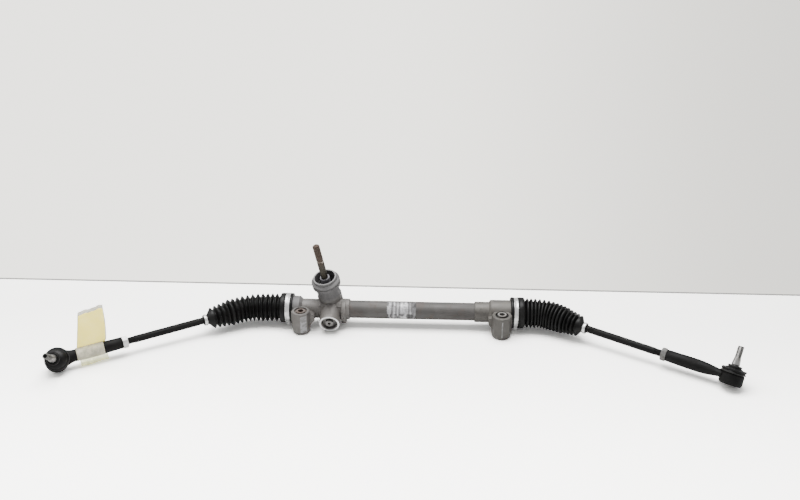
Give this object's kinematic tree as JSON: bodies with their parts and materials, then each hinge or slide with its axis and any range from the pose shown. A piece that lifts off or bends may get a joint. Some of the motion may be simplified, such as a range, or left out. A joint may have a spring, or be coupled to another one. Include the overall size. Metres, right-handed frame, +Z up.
{
  "type": "steering rack",
  "caption": "Rack and pinion steering gear with two tie rods, bellows and ball joints that turns a steering shaft's rotation into side-to-side motion of the wheels' steering arms.",
  "frame": {"origin": "centre of the left mounting bore at the foot of its lug, in the plane that the part rests on", "axes": "+X along the rack to the right, +Y to the back, away from the mounting lugs' side, +Z up along the mounting bores"},
  "size_m": [1.1887, 0.2617, 0.175],
  "materials": {
    "cast_aluminium": "as-cast, mottled grey-brown",
    "steel_tube": "dull grey, lightly stained",
    "bush_steel": "dull machined, a little rust in the bore",
    "ground_steel": "ground and polished",
    "pinion_steel": "dark, rust-brown at the splines",
    "sleeve_grey": "grey, satin",
    "bright_zinc": "bright zinc plate",
    "stud_steel": "machined steel",
    "black_paint": "semi-gloss black",
    "boot_rubber": "satin black",
    "yoke_aluminium": "machined",
    "seat_plastic": "natural, satin"
  },
  "bodies": {
    "housing": {"pinion_housing": "cast_aluminium", "rack_tube": "steel_tube", "right_housing": "cast_aluminium", "rack_bush": "seat_plastic", "left_bush_rubber": "boot_rubber", "right_bush_rubber": "boot_rubber", "left_bush_sleeve": "bush_steel", "right_bush_sleeve": "bush_steel", "upper_bearing_outer": "ground_steel", "bearing_nut": "bright_zinc", "pinion_seal": "boot_rubber", "seal_circlip": "bright_zinc", "lower_bearing": "ground_steel", "pinion_foot_cap": "bright_zinc", "yoke": "yoke_aluminium", "yoke_liner": "seat_plastic", "yoke_spring": "bright_zinc", "yoke_plug": "bright_zinc", "left_boot": "boot_rubber", "right_boot": "boot_rubber", "left_big_clamp": "bright_zinc", "right_big_clamp": "bright_zinc"},
    "rack": {"rack_bar": "ground_steel", "left_stop_washer": "ground_steel", "right_stop_washer": "ground_steel", "left_inner_socket": "ground_steel", "right_inner_socket": "ground_steel"},
    "pinion": {"pinion_shaft": "pinion_steel", "upper_bearing_inner": "ground_steel", "shaft_sleeve": "sleeve_grey"},
    "left_seat": {"left_inner_seat": "seat_plastic"},
    "left_rod": {"left_tie_rod": "black_paint", "left_small_clamp": "bright_zinc", "left_jam_nut": "bright_zinc", "left_rod_end": "black_paint", "left_end_seat": "seat_plastic", "left_end_cap": "black_paint", "left_dust_boot": "boot_rubber", "left_dust_ring": "bright_zinc"},
    "left_clip": {"left_dust_clip": "bright_zinc"},
    "left_stud": {"left_ball_stud": "stud_steel"},
    "right_seat": {"right_inner_seat": "seat_plastic"},
    "right_rod": {"right_tie_rod": "black_paint", "right_small_clamp": "bright_zinc", "right_jam_nut": "bright_zinc", "right_rod_end": "black_paint", "right_end_seat": "seat_plastic", "right_end_cap": "black_paint", "right_dust_boot": "boot_rubber", "right_dust_ring": "bright_zinc"},
    "right_clip": {"right_dust_clip": "bright_zinc"},
    "right_stud": {"right_ball_stud": "stud_steel"}
  },
  "joints": [
    {"name": "rack_slide", "type": "slide", "parent": "housing", "child": "rack", "axis": [1, 0, 0], "range_m": [-0.0415, 0.0615], "deforming": ["left_boot", "right_boot"]},
    {"name": "pinion_spin", "type": "hinge", "parent": "housing", "child": "pinion", "pos_m": [0.053, 0.04445, 0.03565], "axis": [-0.1426, -0.2595, 0.9552], "range_deg": [-328, 485]},
    {"name": "left_rod_swing", "type": "hinge", "parent": "rack", "child": "left_seat", "pos_m": [-0.093, 0.031, 0.032], "axis": [0, 0, 1], "range_deg": [-62, 2]},
    {"name": "left_rod_lift", "type": "hinge", "parent": "left_seat", "child": "left_rod", "pos_m": [-0.093, 0.031, 0.032], "axis": [-0.509, 0.8607, 0], "range_deg": [-10, 14]},
    {"name": "left_stud_tilt", "type": "hinge", "parent": "left_rod", "child": "left_clip", "pos_m": [-0.3993, -0.15015, 0.0219], "axis": [0.3712, -0.5875, -0.7191], "range_deg": [-43, 5], "deforming": ["left_dust_boot"]},
    {"name": "left_stud_spin", "type": "hinge", "parent": "left_clip", "child": "left_stud", "pos_m": [-0.3993, -0.15015, 0.0219], "axis": [0.0501, -0.7606, 0.6473], "continuous": true},
    {"name": "right_rod_swing", "type": "hinge", "parent": "rack", "child": "right_seat", "pos_m": [0.443, 0.031, 0.032], "axis": [0, 0, 1], "range_deg": [-2, 62]},
    {"name": "right_rod_lift", "type": "hinge", "parent": "right_seat", "child": "right_rod", "pos_m": [0.443, 0.031, 0.032], "axis": [-0.509, -0.8607, 0], "range_deg": [-10, 14]},
    {"name": "right_stud_tilt", "type": "hinge", "parent": "right_rod", "child": "right_clip", "pos_m": [0.74408, -0.14706, 0.02006], "axis": [0.4357, 0.7681, -0.4692], "range_deg": [-24, 24], "deforming": ["right_dust_boot"]},
    {"name": "right_stud_spin", "type": "hinge", "parent": "right_clip", "child": "right_stud", "pos_m": [0.74408, -0.14706, 0.02006], "axis": [0.2649, 0.3888, 0.8824], "continuous": true}
  ],
  "couplings": [
    {"joint": "pinion_spin", "follows": "rack_slide", "rad_per_m": 137.47}
  ]
}
